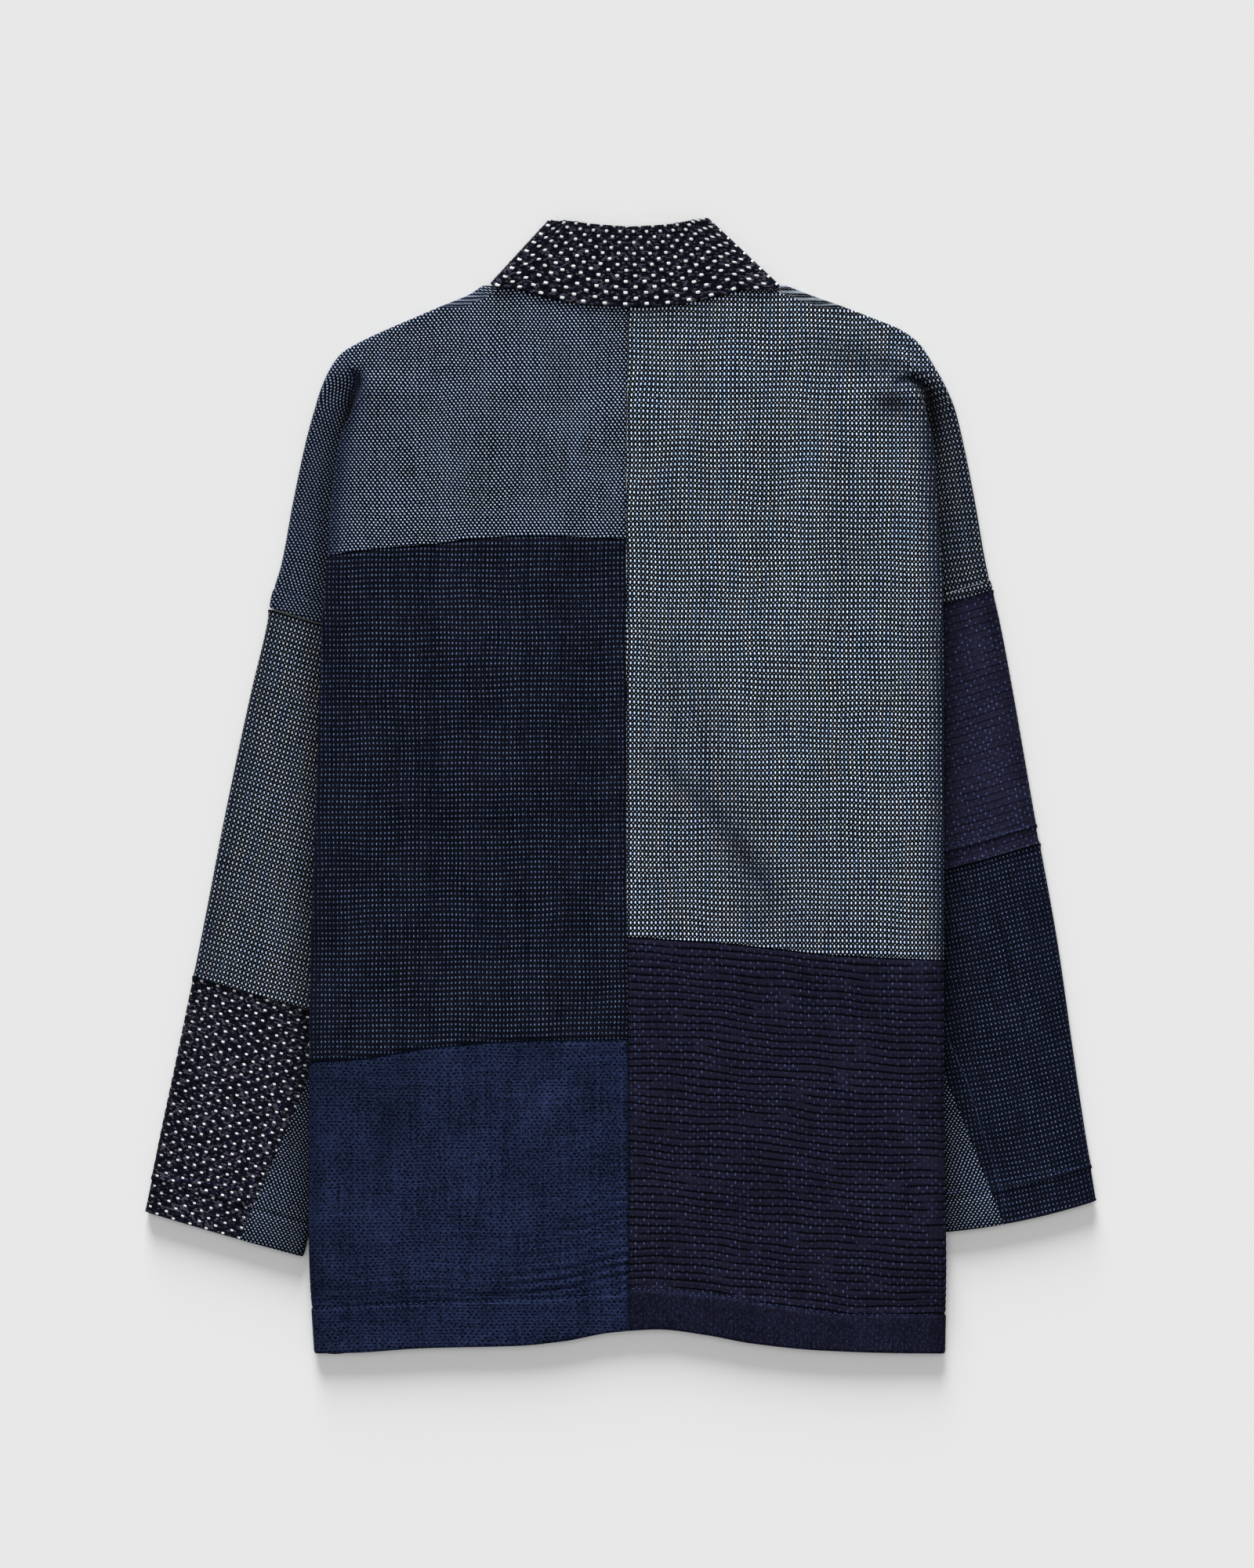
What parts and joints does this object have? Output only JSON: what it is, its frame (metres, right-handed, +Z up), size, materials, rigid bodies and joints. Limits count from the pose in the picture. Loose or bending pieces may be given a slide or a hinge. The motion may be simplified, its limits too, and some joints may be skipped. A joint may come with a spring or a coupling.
{
  "type": "patchwork jacket",
  "caption": "Patched indigo cotton jacket laid flat with its back up, with straight sleeves, a band collar and a plain hem.",
  "frame": {"origin": "centre of the laid-out jacket's outline, on the surface it lies on", "axes": "+Z up off the surface, +Y toward the collar, +X toward the right sleeve as seen from above"},
  "size_m": [0.7298, 0.8732, 0.0177],
  "materials": {
    "dotted_cloth": "matte woven cotton",
    "dashed_cloth": "matte woven cotton",
    "pebbled_cloth": "matte woven cotton",
    "grained_cloth": "matte woven cotton",
    "ribbed_cloth": "matte woven cotton",
    "knobbed_cloth": "matte woven cotton"
  },
  "bodies": {
    "root": {"yoke_left": "dotted_cloth", "back_left_middle": "dashed_cloth", "back_left_hem": "pebbled_cloth", "back_right_upper": "grained_cloth", "back_right_hem": "ribbed_cloth", "front_left": "pebbled_cloth", "front_right": "dotted_cloth", "collar_back": "knobbed_cloth", "collar_front_left": "knobbed_cloth", "collar_front_right": "knobbed_cloth", "sleeve_left_middle": "grained_cloth", "sleeve_left_cuff": "knobbed_cloth", "sleeve_left_gusset": "dotted_cloth", "sleeve_right_upper": "ribbed_cloth", "sleeve_right_lower": "dashed_cloth", "sleeve_right_gusset": "dotted_cloth"}
  },
  "joints": []
}
